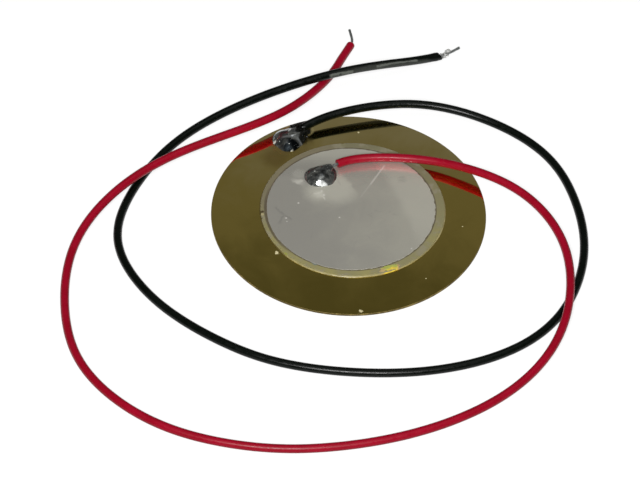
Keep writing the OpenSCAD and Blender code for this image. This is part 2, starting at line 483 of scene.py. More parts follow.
# The camera looks down on the disc from the front, rolled a little, as fitted to the plate's rim
CAMERA_TARGET = Vector((-3.519, -5.834, 0)) * MM
CAMERA_DISTANCE = 0.6
CAMERA_ELEVATION = math.radians(46.441)
CAMERA_ROLL = math.radians(1.536)
CAMERA_LENS = 266.94
SENSOR_WIDTH = 36
CLIP_START = 0.01


def make_camera():
    ahead = Vector((0, math.cos(CAMERA_ELEVATION), -math.sin(CAMERA_ELEVATION)))
    right = Vector((1, 0, 0))
    up = right.cross(ahead)
    turned_right = right * math.cos(CAMERA_ROLL) + up * math.sin(CAMERA_ROLL)
    turned_up = up * math.cos(CAMERA_ROLL) - right * math.sin(CAMERA_ROLL)
    data = bpy.data.cameras.new("camera")
    data.lens = CAMERA_LENS
    data.sensor_width = SENSOR_WIDTH
    data.clip_start = CLIP_START
    camera = bpy.data.objects.new("camera", data)
    turn = Matrix((turned_right, turned_up, -ahead)).transposed().to_4x4()
    camera.matrix_world = Matrix.Translation(CAMERA_TARGET - ahead * CAMERA_DISTANCE) @ turn
    bpy.context.scene.collection.objects.link(camera)
    bpy.context.scene.camera = camera


# -------------------- leads

INSULATION_SIDES = 28
INSULATION_STEP = 0.35 * MM
# The first rings at each end, from the cut on, in millimetres
END_RINGS = (0, 0.03, 0.07, 0.13, 0.2, 0.28)
# How much of a tube's end can be swollen or slanted, where the slant points, and how much of its
# rounding is kept
END_LENGTH = 1.2 * MM
SLANT_TURN = 0.9
ROUNDING_KEPT = 0.9
# The bore is a little wider than the conductor, its rim lies a little inside each cut, and it has
# fewer rings than the skin
BORE_R = CONDUCTOR_D / 2 * 1.04
BORE_SINK = 0.05 * MM
BORE_RING_SKIP = 4
# The lengths over which the skin is uneven
LONG_WAVE = 9 * MM
SHORT_WAVE = 1.7 * MM

STRAND_STEP = 0.4 * MM
STRANDS_AROUND = 6
STRAND_LAY = 7 * MM
STRAND_D = CONDUCTOR_D / 3
STRAND_R = STRAND_D * 0.52
STRAND_APART = 0.96
STRAND_SIDES = 8
# How much of the free end is splayed
SPLAY_LENGTH = 1.4 * MM


def insulation_radius(at, angle, seed):
    """The insulation's outer radius: drawn plastic, a little uneven along and around."""
    slow = noise.noise(Vector((at / LONG_WAVE, seed, 0)))
    quick = noise.noise(Vector((at / SHORT_WAVE, seed, math.cos(angle) * 0.6)))
    drawn = math.sin(5 * angle + seed) + math.sin(9 * angle + 2 * seed)
    return WIRE_D / 2 * (1 + 0.012 * slow + 0.008 * quick + 0.003 * drawn)


def insulation(name, lead, bare, ends, seed):
    """A hollow tube of plastic between the lead's two bare stretches. ends gives, for each end,
    how far its rim is rounded, how much it is swollen and how far its cut slants."""
    start, stop = bare[0], lead.length - bare[1]
    count = round((stop - start) / INSULATION_STEP)
    inset = [s * MM for s in END_RINGS]
    inner = [start + (stop - start) * k / count for k in range(1, count)]
    places = [start + s for s in inset]
    places += [at for at in inner if start + inset[-1] < at < stop - inset[-1]]
    places += [stop - s for s in reversed(inset)]

    def shape(at, angle):
        """Outer radius and shift along the lead of one point of the skin."""
        radius = insulation_radius(at, angle, seed)
        shift = 0.0
        for near, sign, end in ((at - start, -1, ends[0]), (stop - at, 1, ends[1])):
            rounding, swell, slant = end
            if near < END_LENGTH:
                fade = 1 - near / END_LENGTH
                radius *= 1 + swell * math.sin(math.pi * min(1, 1.5 * fade)) ** 2
                shift += sign * slant * math.cos(angle - SLANT_TURN) * fade ** 2
            if near < rounding:
                lost = 1 - math.sqrt(1 - (1 - near / rounding) ** 2)
                radius -= rounding * lost * ROUNDING_KEPT
        return radius, shift

    rings = []
    for at in places:
        centre, ahead, side, up = lead.frame(at)
        ring = []
        for angle in circle(INSULATION_SIDES):
            radius, shift = shape(at, angle)
            ring.append(centre + spoke(side, up, angle) * radius + ahead * shift)
        rings.append(ring)
    for at in reversed(places[::BORE_RING_SKIP] + [places[-1]]):
        centre, ahead, side, up = lead.frame(at)
        sink = BORE_SINK if at == places[0] else -BORE_SINK if at == places[-1] else 0
        rings.append([
            centre + spoke(side, up, angle) * BORE_R + ahead * sink
            for angle in circle(INSULATION_SIDES)
        ])
    points = [p for ring in rings for p in ring]
    piece = mesh_object(name, points, grid_faces(len(rings), INSULATION_SIDES, looped=True))
    return piece, [lead.point(at) for at in places]


def conductor(name, lead, splay):
    """Seven tinned strands twisted together, from inside the solder to the bare tip."""
    points, faces = [], []
    count = round(lead.length / STRAND_STEP)
    for strand in range(STRANDS_AROUND + 1):
        rings = []
        for k in range(count + 1):
            at = lead.length * k / count
            centre, ahead, side, up = lead.frame(at)
            turn = math.tau * (at / STRAND_LAY + strand / STRANDS_AROUND)
            loose = max(0.0, 1 - (lead.length - at) / SPLAY_LENGTH)
            apart = STRAND_D * (STRAND_APART + splay * loose ** 2)
            reach = 0 if strand == STRANDS_AROUND else apart
            core = centre + spoke(side, up, turn) * reach
            rings.append([core + spoke(side, up, a) * STRAND_R for a in circle(STRAND_SIDES)])
        add_part(points, faces, lambda start: capped(rings, start))
    return mesh_object(name, points, faces)


def tip_lumps(lead, bare):
    """Grains of clear flux on a bare tip: how far along from the insulation, to the side, up, and
    their size, in millimetres."""
    grains = [
        (0.2, 0.06, 0.06, 0.27), (0.5, -0.14, -0.04, 0.36), (0.75, 0.06, 0.05, 0.3),
        (0.95, -0.12, -0.02, 0.24), (1.3, 0.2, 0.12, 0.38),
    ]
    points, faces = [], []
    for seed, (along, aside, above, size) in enumerate(grains):
        centre, ahead, side, up = lead.frame(lead.length - bare[1] + along * MM)
        place = centre + (side * aside + up * above) * MM
        scale = Vector((1, 0.85, 0.8)) * size * MM
        add_part(points, faces, lambda start: lump(place, scale, seed, 0.5, start))
    return mesh_object("black_tip_flux", points, faces)


# -------------------- the disc

PLATE_SIDES = 360
CERAMIC_SIDES = 720
PLATE_CHAMFER = 0.01 * MM
CERAMIC_EDGE = 0.03 * MM
# How far in from their edges the ceramic and the silver are uneven
CERAMIC_ROUGH = 0.35 * MM
PRINT_ROUGH = 0.4 * MM


def brass_plate():
    """The punched plate: rolled over above, sheared at the side, with a small chamfer below."""
    profile = [(0, 0), (PLATE_R - PLATE_CHAMFER, 0), (PLATE_R, PLATE_CHAMFER)]
    profile += [(PLATE_R, PLATE_T - PLATE_ROLL), *rolled_edge(PLATE_R, PLATE_T, PLATE_ROLL, 6)]
    profile += [(PLATE_R * share, PLATE_T) for share in (0.985, 0.9, 0.75, 0.5, 0.25, 0)]

    def wander(angle, r, z):
        sheared = PLATE_CHAMFER < z < PLATE_T - PLATE_ROLL
        return 0.004 * MM * ripple(angle, 1.3, (31, 57, 90)) if sheared else 0

    return mesh_object("punched_plate", *lathe(Vector(), profile, PLATE_SIDES, wander))


# Small chips in the ceramic's edge: where, how wide and how deep, in degrees and millimetres
CHIPS = [(-175, 1.1, 0.22), (-170, 0.9, 0.16), (-161, 0.6, 0.08), (38, 0.7, 0.1), (97, 0.8, 0.09),
         (-64, 1.2, 0.1), (-22, 0.6, 0.06), (150, 0.7, 0.08)]


def chipped(angle):
    depth = 0.0
    for where, width, deep in CHIPS:
        apart = (math.degrees(angle) - where + 180) % 360 - 180
        depth += deep * MM * math.exp(-((apart / width) ** 2))
    return depth


def ceramic_disc():
    """The sintered disc, with a rounded edge and a few small chips in it."""
    profile = [(0, CERAMIC_BOTTOM), (CERAMIC_R - CERAMIC_EDGE, CERAMIC_BOTTOM)]
    profile += [(CERAMIC_R, CERAMIC_BOTTOM + CERAMIC_EDGE), (CERAMIC_R, CERAMIC_TOP - CERAMIC_EDGE)]
    profile += rolled_edge(CERAMIC_R, CERAMIC_TOP, CERAMIC_EDGE, 4)
    profile += [(CERAMIC_R - inset * MM, CERAMIC_TOP) for inset in (0.1, 0.3)]
    profile += [(CERAMIC_R * share, CERAMIC_TOP) for share in (0.95, 0.5, 0)]

    def wander(angle, r, z):
        near_edge = max(0.0, 1 - (CERAMIC_R - r) / CERAMIC_ROUGH)
        high = (z - CERAMIC_BOTTOM) / (CERAMIC_TOP - CERAMIC_BOTTOM)
        rough = 0.008 * MM * ripple(angle, 2.1, (17, 29, 53, 88))
        return (rough - chipped(angle) * (0.4 + 0.6 * high)) * near_edge

    return mesh_object("chipped_ceramic", *lathe(CERAMIC_MID, profile, CERAMIC_SIDES, wander))


# Spots of glue on the ceramic's margin: where, and half of their length and width, in millimetres
GLUE_SPOTS = [(5.05, -9.65, 1.15, 0.42), (6.0, -9.35, 0.6, 0.36)]
GLUE_THICK = 0.06
BEAD_STEPS = 6


def adhesive():
    """The film under the ceramic with the uneven bead squeezed out around it, and some glue that
    ran up over the ceramic's edge."""
    bead = BEAD_R - CERAMIC_R
    profile = [(0, PLATE_T), (BEAD_R, PLATE_T)]
    for k in range(1, BEAD_STEPS + 1):
        a = math.pi / 2 * k / BEAD_STEPS
        z = PLATE_T + (BEAD_TOP - PLATE_T) * math.sin(a)
        profile.append((CERAMIC_R + bead * math.cos(a) ** 1.5, z))
    profile += [(CERAMIC_R, CERAMIC_BOTTOM), (LOWER_ELECTRODE_R, CERAMIC_BOTTOM)]
    profile += [(LOWER_ELECTRODE_R, FILM_TOP), (0, FILM_TOP)]

    def wander(angle, r, z):
        out = max(0.0, (r - CERAMIC_R) / bead)
        return 0.45 * bead * ripple(angle, 0.4, (4, 9, 15, 26)) * out

    points, faces = lathe(CERAMIC_MID, profile, PLATE_SIDES, wander)
    for seed, (x, y, long, wide) in enumerate(GLUE_SPOTS, 3):
        place = spot(x, y, CERAMIC_TOP)
        out = place - CERAMIC_MID
        turn = math.atan2(out.y, out.x) + math.pi / 2
        size = Vector((long, wide, GLUE_THICK)) * MM
        add_part(points, faces, lambda start: lump(place, size, seed, 0.6, start, 12, 28, turn))
    return mesh_object("adhesive_and_bead", points, faces)


# The steps that the printing screen leaves in the silver's edge: how many there are around it,
# how much of each they take and how deep they are
SCREEN_STEPS = 42
SCREEN_SHARE = 0.35
SCREEN_DEPTH = 0.07 * MM
# How far the silver's edge slopes, and how high it is at its outermost
PRINT_EDGE = 0.02 * MM
PRINT_FOOT = 0.004 * MM


def electrode():
    """The printed silver film, whose edge keeps the small steps of the printing screen."""
    profile = [(0, CERAMIC_TOP), (ELECTRODE_R - PRINT_EDGE, CERAMIC_TOP)]
    profile += [(ELECTRODE_R, CERAMIC_TOP + PRINT_FOOT)]
    profile += [(ELECTRODE_R - PRINT_EDGE, TOP_Z), (ELECTRODE_R - 4 * PRINT_EDGE, TOP_Z)]
    profile += [(ELECTRODE_R * share, TOP_Z) for share in (0.95, 0.75, 0.5, 0.25, 0)]

    def wander(angle, r, z):
        near_edge = max(0.0, 1 - (ELECTRODE_R - r) / PRINT_ROUGH)
        right = 0.5 + 0.5 * math.cos(angle)
        jag = (angle * SCREEN_STEPS / math.tau + 0.25 * math.sin(9 * angle)) % 1
        step = SCREEN_DEPTH * right * (jag < SCREEN_SHARE)
        return (0.035 * MM * ripple(angle, 5.2, (7, 19, 43, 90)) - step) * near_edge

    return mesh_object("printed_electrode", *lathe(ELECTRODE_MID, profile, CERAMIC_SIDES, wander))


JOINT_SIDES = 96
JOINT_RINGS = 36
# How steep the solder is at its foot
JOINT_CONTACT = math.radians(58)
# The foot's turn and the ridge, as in the CAD
JOINT_TURN = math.radians(-6)
RIDGE_KEEP = 0.75
RIDGE_REACH = 0.3
RIDGE_NARROW = 5
# How uneven the cap is, and how much of that its height takes, above its foot
JOINT_UNEVEN = 0.07
JOINT_GRAIN = 1.7
UNEVEN_HEIGHT = 0.8
FOOT_HEIGHT = 0.1


def solder_joint(place, route, size, seed, dents):
    """Points and faces of a cap of solder with a ridge along its lead. Each dent has a way and
    height around the cap, in degrees, its width in degrees and its depth as a share."""
    lead_turn = math.atan2(route[1].y - route[0].y, route[1].x - route[0].x) - JOINT_TURN
    points = [place.copy()]
    for k in range(JOINT_RINGS):
        tilt = JOINT_CONTACT * (1 - k / JOINT_RINGS)
        rise = math.pi / 2 * k / JOINT_RINGS
        height = (math.cos(tilt) - math.cos(JOINT_CONTACT)) / (1 - math.cos(JOINT_CONTACT))
        for a in circle(JOINT_SIDES):
            ridge = max(0.0, math.cos(a - lead_turn)) ** RIDGE_NARROW
            share = math.sin(tilt) / math.sin(JOINT_CONTACT)
            share = (share + (1 - share) * RIDGE_KEEP * ridge) * (1 + RIDGE_REACH * ridge)
            way = aim(a, rise)
            uneven = 1 + JOINT_UNEVEN * noise.noise(way * JOINT_GRAIN + Vector((seed, 0, seed)))
            for turn, tall, width, deep in dents:
                to = aim(math.radians(turn), math.radians(tall))
                uneven -= deep * math.exp(-((way - to).length / math.radians(width)) ** 2)
            reach = share * uneven / 2
            x, y = turned(reach * size.x * math.cos(a), reach * size.y * math.sin(a), JOINT_TURN)
            taller = 1 if height < FOOT_HEIGHT else 1 + (uneven - 1) * UNEVEN_HEIGHT
            points.append(place + Vector((x, y, height * size.z * taller)))
    points.append(place + Vector((0, 0, size.z)))
    return points, closed_faces(JOINT_RINGS, JOINT_SIDES)


def plate_joint():
    """The black lead's joint, with burnt flux where the insulation starts."""
    dents = [(205, 50, 32, 0.05), (230, 4, 28, 0.1), (318, 8, 24, 0.07), (330, 45, 26, 0.04)]
    points, faces = solder_joint(PLATE_JOINT, BLACK_ROUTE, PLATE_JOINT_SIZE, 4.1, dents)
    metal_faces = len(faces)
    # Where each lump of burnt flux is, in millimetres from the joint, and its size
    crusts = [
        (0.9, 1.3, 0.7, 0.42), (1.35, 1.6, 0.95, 0.42), (1.3, 0.85, 0.95, 0.42),
        (1.8, 1.0, 0.8, 0.5), (2.1, 0.45, 0.45, 0.42), (2.35, 1.0, 0.5, 0.36),
        (1.75, 1.8, 1.0, 0.34), (1.9, 0.0, 0.3, 0.32), (0.6, 2.1, 0.3, 0.42),
        (1.2, 2.2, 0.35, 0.48), (1.6, 1.9, 0.5, 0.42),
    ]
    for seed, (x, y, z, size) in enumerate(crusts, 7):
        place = off(PLATE_JOINT, x, y, z)
        scale = Vector((size, size * 0.9, size * 0.8)) * MM
        add_part(points, faces, lambda start: lump(place, scale, seed, 0.8, start, 10, 16))
    return mesh_object("plate_solder_blob", points, faces), metal_faces


def electrode_joint():
    dents = [(150, 60, 30, 0.03), (325, 8, 26, -0.05), (288, 24, 32, 0.05),
             (50, 36, 28, 0.16), (92, 40, 24, -0.1)]
    cap = solder_joint(ELECTRODE_JOINT, RED_ROUTE, ELECTRODE_JOINT_SIZE, 9.3, dents)
    return mesh_object("electrode_solder_blob", *cap)


# -------------------- materials

# Places, widths and sizes are in millimetres on the plate, and colours are from 0 to 255


def brass_material():
    """Rolled brass, bright but dulled by handling, darker towards the front and paler towards the
    back as a painted reflection, with brown flux run out around the joint, soot behind it and a
    duller sheared edge."""
    shade = Shade("brass")
    clouds = shade.noise(0.16, 4, 0.55, 0.6)
    grain = shade.noise(9, 4, 0.6, stretch=(0.06, 1, 1))
    # Painted reflection: darker towards the front and paler towards the back
    back = shade.plus(shade.way(0, 1), shade.span(clouds, 0.2, 0.8, -5, 5))
    shade.colour = shade.mix(shade.span(back, -18, 2), tint(178, 160, 78), tint(226, 203, 110))
    shade.paint(shade.span(back, 2, 20), 254, 236, 168)
    around = shade.wavy(0.5, 0.45)
    patch = shade.dab(-9.5, 9.7, 1.7, 0.5, around)
    film = shade.dab(-7.4, 12.4, 2.7, 0.2, around)
    film = shade.times(film, shade.span(shade.noise(0.9, 3), 0.3, 0.6, 0.6, 1))
    soot = shade.most(
        shade.stroke((-7.8, 15.4), (-4.8, 16.6), 1.5, 0.3, around),
        shade.dab(-5.9, 14.7, 1.0, 0.3, around),
    )
    shade.paint(shade.times(patch, 0.45), 164, 130, 72)
    shade.paint(shade.times(film, 0.5), 176, 150, 84)
    specks = shade.most(
        shade.dabs([(1.06, 14.59, 0.12, 0.5), (9.9, -11.0, 0.08, 0.5), (14.5, -1.77, 0.08, 0.5)]),
        shade.dabs([(-8.95, -7.25, 0.24, 0.35), (1.75, -16.88, 0.24, 0.35)], shade.wavy(4.5, 0.32)),
    )
    shade.paint(specks, 240, 230, 186)
    shade.paint(soot, 12, 12, 6)
    rim = PLATE_R / MM
    edge = shade.span(shade.from_point(0, 0), rim - 0.07, rim - 0.02)
    worn = shade.span(shade.noise(0.8, 4, 0.6), 0.5, 0.62)
    sheared = shade.mix(worn, tint(92, 78, 38), tint(134, 116, 66))
    shade.colour = shade.mix(edge, shade.colour, sheared)
    rough = shade.plus(shade.span(grain, 0.2, 0.8, 0.04, 0.06), shade.times(film, 0.22))
    rough = shade.plus(rough, shade.times(patch, 0.1))
    rough = shade.plus(rough, shade.times(shade.most(edge, specks, soot), 0.5), clamp=True)
    metal = shade.minus(1.0, shade.times(edge, 0.45))
    metal = shade.minus(metal, shade.times(shade.most(specks, soot), 0.6), clamp=True)
    return shade.finish(
        Roughness=rough, Metallic=metal, Normal=shade.bump(grain, 0.002 * MM, 0.1))


def ceramic_material():
    """Unglazed sintered ceramic, browner towards the joint on the plate, with a dark line where
    the silver starts."""
    shade = Shade("ceramic", Roughness=0.5, Specular_IOR_Level=0.3)
    fine = shade.noise(5, 5, 0.65)
    broad = shade.noise(0.3, 3, 0.5)
    back = shade.span(shade.way(0, 1), -11, 12)
    shade.colour = shade.mix(back, tint(146, 139, 92), tint(114, 110, 86))
    shade.paint(shade.span(broad, 0.35, 0.65, 0, 0.6), 126, 122, 94)
    shade.paint(shade.span(fine, 0.55, 0.75, 0, 0.3), 116, 106, 74)
    patches = shade.noise(0.6, 3, 0.6, at=shade.wavy(0.5, 0.5))
    patches = shade.span(patches, 0.52, 0.64, 0, 0.55)
    shade.paint(patches, 140, 134, 116)
    around = shade.wavy(0.35, 0.6)
    browned = shade.dabs([(-9.4, 5.4, 5.4, 0.25), (-6.5, 10.5, 4.5, 0.3)], around)
    shade.paint(shade.times(browned, 0.75), 116, 108, 88)
    shade.paint(shade.dab(-7.75, -7.65, 0.34, 0.5, around), 146, 148, 70)
    shade.paint(shade.dab(-10.95, -0.8, 0.2, 0.4), 164, 154, 116)
    shade.paint(shade.dab(-10.95, -0.32, 0.2, 0.4), 76, 64, 44)
    mid = ELECTRODE_MID / MM
    rim = ELECTRODE_R / MM
    out = shade.from_point(mid.x, mid.y, shade.wavy(2, 0.06))
    left = shade.span(shade.way(1, 0.25), -10.6, -8.4, 1, 0)
    wide_line = shade.times(shade.span(out, rim + 0.26, rim + 0.4, 0.85, 0), left)
    thin_line = shade.span(out, rim + 0.08, rim + 0.2, 0.85, 0)
    shade.paint(shade.most(wide_line, thin_line), 84, 76, 62)
    shade.paint(shade.dab(-4.1, -9.1, 0.36, 0.5, around), 110, 118, 112)
    return shade.finish(Normal=shade.bump(fine, 0.01 * MM, 0.3))


def silver_material():
    """Fired silver paste: satin and unevenly rubbed, brighter towards the right and the back as
    painted light, with a scratch, small stains and a film of dried flux around the joint."""
    shade = Shade("silver")
    clouds = shade.noise(0.22, 4, 0.6, 0.5)
    fine = shade.noise(14, 4, 0.7)
    weave = shade.noise(3.2, 3, 0.5)
    # Painted light: the silver is brighter towards the right
    right = shade.plus(shade.way(1, 0.1), shade.span(clouds, 0.2, 0.8, -4, 4))
    shade.colour = shade.mix(shade.span(right, -8, 11), tint(212, 210, 201), tint(234, 232, 218))

    # Paler where flux has dried and where it was wiped, and paler towards the back as painted light
    around = shade.wavy(1.1, 0.45)
    film = shade.dabs([(-3.8, 3.4, 1.7, 0.6), (-1.7, 4.2, 2.6, 0.5)], around)
    film_end = shade.span(shade.way(0.862, 0.507, around), 2.5, 3.0, 1, 0)
    film = shade.times(shade.times(film, film_end), 0.68)
    broad = shade.wavy(0.3, 1.2)
    wiped = shade.span(shade.way(0.928, 0.371, broad), 6.0, 7.4)
    wiped = shade.times(wiped, shade.span(shade.way(0, 1, broad), -9, 0))
    back = shade.way(0, 1)
    behind = shade.span(back, 7.6, 11)
    pale = shade.most(film, shade.times(wiped, 0.4), shade.times(behind, 0.6))
    shade.paint(pale, 250, 248, 232)

    # Smears beside the joint
    ragged = shade.wavy(2.2, 0.3)
    smear = shade.most(
        shade.stroke((-7.1, 5.45), (-6.1, 4.85), 0.7, 0.4, ragged),
        shade.dab(-6.15, 5.3, 0.36, 0.5, ragged),
        shade.times(shade.dab(-6.5, 6.6, 0.8, 0.4, ragged), 0.35),
        shade.times(shade.dab(-3.9, 3.0, 0.6, 0.6, ragged), 0.5),
        shade.stroke((-4.5, 3.1), (-3.3, 3.4), 0.14, 0.6, ragged),
        shade.stroke((-4.1, 3.3), (-2.9, 2.1), 0.16, 0.6, ragged),
    )
    shade.paint(shade.times(smear, 0.6), 252, 250, 238)

    # Darker stains and rubbed lines
    stains = shade.span(shade.noise(0.55, 5, 0.65, 0.8), 0.6, 0.72, 0, 0.14)
    shade.paint(stains, 170, 166, 162)
    rubbed = shade.most(
        shade.strokes([
            ((6.2, 6.4), (7.2, 6.5), 0.16, 0.8),
            ((6.2, 5.9), (7.1, 5.7), 0.16, 0.8),
        ], ragged),
        shade.strokes([
            ((-9.3, 0.6), (-8.2, -0.9), 0.3, 0.8),
            ((-8.2, -0.9), (-7.2, -1.5), 0.25, 0.8),
            ((-8.2, -0.9), (-8.8, -2.4), 0.25, 0.8),
        ], around),
    )
    smudge = shade.times(shade.dab(6.75, 6.0, 0.5, 0.7, ragged), 0.12)
    smudge = shade.most(smudge, shade.times(rubbed, 0.2))
    shade.paint(smudge, 130, 126, 126)

    # The scratch with its faint end, another one at the right, and bright flecks
    faint = shade.strokes([
        ((2.7, 5.0), (1.5, 2.7), 0.16, 0.8),
        ((8.2, -2.5), (8.6, -3.2), 0.12, 0.8),
    ])
    scratch = shade.most(shade.stroke((4.5, 8.5), (2.7, 5.0), 0.2, 0.7), shade.times(faint, 0.35))
    flecks = shade.dabs([
        (8.04, -6.11, 0.1, 0.5), (-7.92, -1.35, 0.12, 0.6), (-7.8, -1.95, 0.08, 0.6),
        (-6.42, 1.36, 0.12, 0.6), (-1.15, -0.99, 0.11, 0.6), (-3.5, 3.6, 0.12, 0.6),
        (-3.2, 2.9, 0.13, 0.6),
    ])
    bright = shade.most(shade.times(scratch, 0.6), flecks)
    shade.paint(bright, 255, 252, 244)

    polished = shade.span(back, 5.6, 7.2)
    rough = shade.plus(shade.span(fine, 0.2, 0.8, 0.3, 0.38), shade.times(smear, 0.12))
    rough = shade.minus(rough, shade.times(polished, 0.12))
    metal = shade.minus(0.76, shade.times(shade.plus(smear, pale), 0.1))
    metal = shade.minus(metal, shade.times(bright, 0.2))
    height = shade.plus(shade.times(fine, 0.3), weave)
    return shade.finish(
        Roughness=rough, Metallic=metal, Normal=shade.bump(height, 0.006 * MM, 0.14))


def adhesive_material():
    """Cured epoxy: pale in the bead at the front and darker at the back and left as painted light
    and shade, and green to yellow where it ran over the ceramic."""
    shade = Shade("epoxy", Roughness=0.3, IOR=1.5)
    cloud = shade.noise(1.4, 3, 0.5)
    bead = shade.mix(shade.span(cloud, 0.35, 0.65), tint(138, 130, 92), tint(166, 156, 112))
    # Painted light and shade: the bead is paler at the front and darker at the back and left
    bead = shade.mix(shade.span(shade.way(-0.8, 0.6), 0.5, 3.5), bead, tint(84, 74, 40))
    uneven = shade.span(cloud, 0.3, 0.7, -0.25, 0.25)
    right = shade.plus(shade.way(1, 0), uneven)
    outward = shade.plus(shade.way(0.44, -0.9), uneven)
    deep = shade.mix(shade.span(outward, 10.8, 11.15), tint(166, 172, 86), tint(208, 184, 72))
    deep = shade.mix(shade.span(right, 4.3, 4.7, 1, 0), deep, tint(176, 154, 104))
    deep = shade.mix(shade.span(right, 6.0, 6.4), deep, tint(178, 150, 108))
    ran_over = shade.dabs([(x, y, long, 0.35) for x, y, long, wide in GLUE_SPOTS])
    shade.colour = shade.mix(ran_over, bead, deep)
    return shade.finish(Normal=shade.bump(cloud, 0.03 * MM, 0.3))


def solder_material():
    """Bright solder, crazed and flecked with flux, with painted highlights and painted dark and
    pale reflections, and scorched where the black lead's insulation starts."""
    shade = Shade("solder")
    skin = shade.noise(1.2, 4, 0.6, 0.7)
    fine = shade.noise(7, 3, 0.6)
    around = shade.wavy(1.2, 0.4)
    ragged = shade.wavy(3, 0.15)
    shade.colour = shade.mix(shade.span(skin, 0.38, 0.6), tint(160, 163, 160), tint(98, 101, 102))
    pits_and_dark_reflection = shade.span(shade.noise(1.5, 2, 0.5, 0.4), 0.6, 0.72)
    # Dark pits, and dark dabs on the red joint that are painted dark reflection
    pits_and_dark_reflection = shade.most(
        shade.times(pits_and_dark_reflection, 0.7),
        shade.dabs([(-3.3, 6.1, 0.36, 0.4), (-2.95, 5.6, 0.34, 0.4)], ragged),
        shade.stroke((-4.7, 5.8), (-3.9, 5.6), 0.5, 0.5, ragged),
    )
    shade.paint(shade.times(pits_and_dark_reflection, 0.85), 34, 38, 38)
    # Brown-dark on the red joint's right flank: painted reflection of the red lead
    browned = shade.stroke((-1.5, 7.0), (-1.6, 5.2), 0.5, 0.6, ragged)
    shade.paint(shade.times(browned, 0.7), 70, 58, 52)
    # A painted pale reflection band across the black joint
    ridge = shade.strokes([
        ((-8.8, 12.45), (-7.0, 12.65), 0.3, 0.6),
        ((-7.0, 12.65), (-6.1, 11.8), 0.35, 0.6),
    ])
    shade.paint(shade.times(ridge, 0.8), 190, 195, 198)
    # A painted dark reflection in the middle of the black joint, which also dims its natural
    # highlight
    painted_dark_reflection = shade.most(
        shade.stroke((-8.4, 11.9), (-6.7, 11.9), 0.7, 0.3, ragged),
        shade.dabs([(-7.1, 11.5, 0.65, 0.3), (-8.0, 11.1, 0.62, 0.25)], ragged),
        shade.times(shade.dab(-8.6, 11.6, 0.6, 0.5, ragged), 0.6),
    )
    shade.paint(painted_dark_reflection, 10, 15, 18)
    # Flux flecks, and two dabs on the black joint that are painted highlights
    flecks = shade.most(
        shade.span(shade.noise(5.2, 2, 0.5), 0.7, 0.74),
        shade.dabs([(-9.72, 12.15, 0.18, 0.5), (-7.42, 10.74, 0.2, 0.5)], ragged),
        shade.dab(-4.45, 6.3, 0.09, 0.5),
    )
    shade.paint(flecks, 226, 228, 222)
    scorched = shade.dabs([(-6.1, 14.2, 1.3, 0.3), (-5.95, 12.9, 0.8, 0.3)], around)
    shade.paint(scorched, 12, 13, 10)

    # The even patch that holds the red joint's one highlight, painted paler so that it brightens it
    highlight_patch = shade.dabs([
        (-3.85, 4.7, 0.28, 0.4), (-3.5, 4.6, 0.34, 0.4), (-3.1, 4.48, 0.32, 0.4),
    ], ragged)
    shade.paint(highlight_patch, 186, 188, 186)

    rough = shade.span(skin, 0.35, 0.7, 0.12, 0.24)
    rough = shade.plus(rough, shade.times(shade.most(pits_and_dark_reflection, scorched, browned), 0.2))
    rough = shade.plus(rough, shade.times(shade.most(painted_dark_reflection, highlight_patch), 0.22))
    metal = shade.minus(0.9, shade.times(shade.most(flecks, scorched), 0.6))
    height = shade.plus(skin, shade.times(fine, 0.22))
    height = shade.times(height, shade.minus(1.0, shade.times(highlight_patch, 0.7)))
    return shade.finish(
        Roughness=rough, Metallic=metal, Normal=shade.bump(height, 0.06 * MM, 0.4))


def mottled(name, grain, two_colours, from_to, roughness, **plain):
    """A plain material between two colours and two roughnesses, by one noise. grain is its scale
    and detail, and from_to is where it goes from the first colour to the second."""
    shade = Shade(name, **plain)
    patch = shade.noise(*grain, 0.6)
    shade.colour = shade.mix(shade.span(patch, *from_to), *(tint(*c) for c in two_colours))
    return shade.finish(Roughness=shade.span(patch, 0.3, 0.7, *roughness))


def burnt_flux_material():
    return mottled("burnt_flux", (3, 4), ((4, 5, 4), (20, 20, 16)), (0.4, 0.66), (0.3, 0.55),
                   IOR=1.5, Specular_IOR_Level=0.12)


def clear_flux_material():
    return mottled("clear_flux", (4, 3), ((250, 250, 248), (205, 205, 200)), (0.4, 0.66),
                   (0.1, 0.35), IOR=1.5, Transmission_Weight=0.85)


def tinned_material():
    return mottled("tinned_copper", (4, 4), ((152, 158, 158), (112, 112, 110)), (0.35, 0.7),
                   (0.22, 0.4), Metallic=0.8)


def hidden_silver_material():
    shade = Shade("lower_silver", Metallic=0.75)
    patch = shade.noise(2, 4, 0.6)
    shade.colour = shade.mix(patch, tint(170, 166, 156), tint(190, 186, 174))
    return shade.finish(Roughness=shade.span(patch, 0.3, 0.7, 0.35, 0.5))


